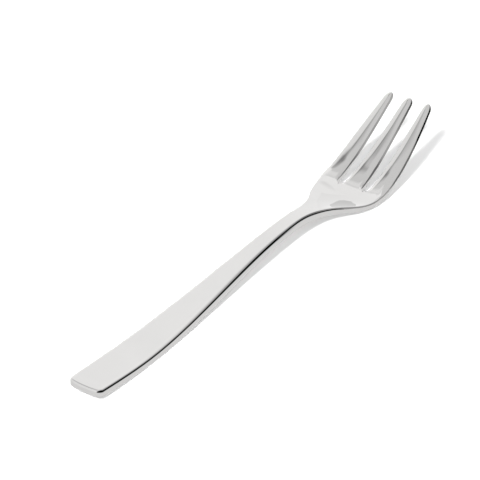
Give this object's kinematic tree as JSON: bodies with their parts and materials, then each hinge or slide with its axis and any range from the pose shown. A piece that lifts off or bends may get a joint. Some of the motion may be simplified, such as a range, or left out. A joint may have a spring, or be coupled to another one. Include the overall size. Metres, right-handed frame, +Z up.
{
  "type": "fish fork",
  "caption": "One-piece fish fork in polished stainless steel: flat tapering handle, narrow arched neck, broad shallow head and curved bevelled tines for lifting and holding fish.",
  "frame": {"origin": "on the table under the fork, midway along its length, on its middle line", "axes": "+X from the handle end to the tine tips, +Y across to the left, +Z up from the table"},
  "size_m": [0.18, 0.025, 0.0212],
  "materials": {
    "polished_steel": "mirror-polished stainless steel"
  },
  "bodies": {
    "root": {"fork": "polished_steel"}
  },
  "joints": []
}
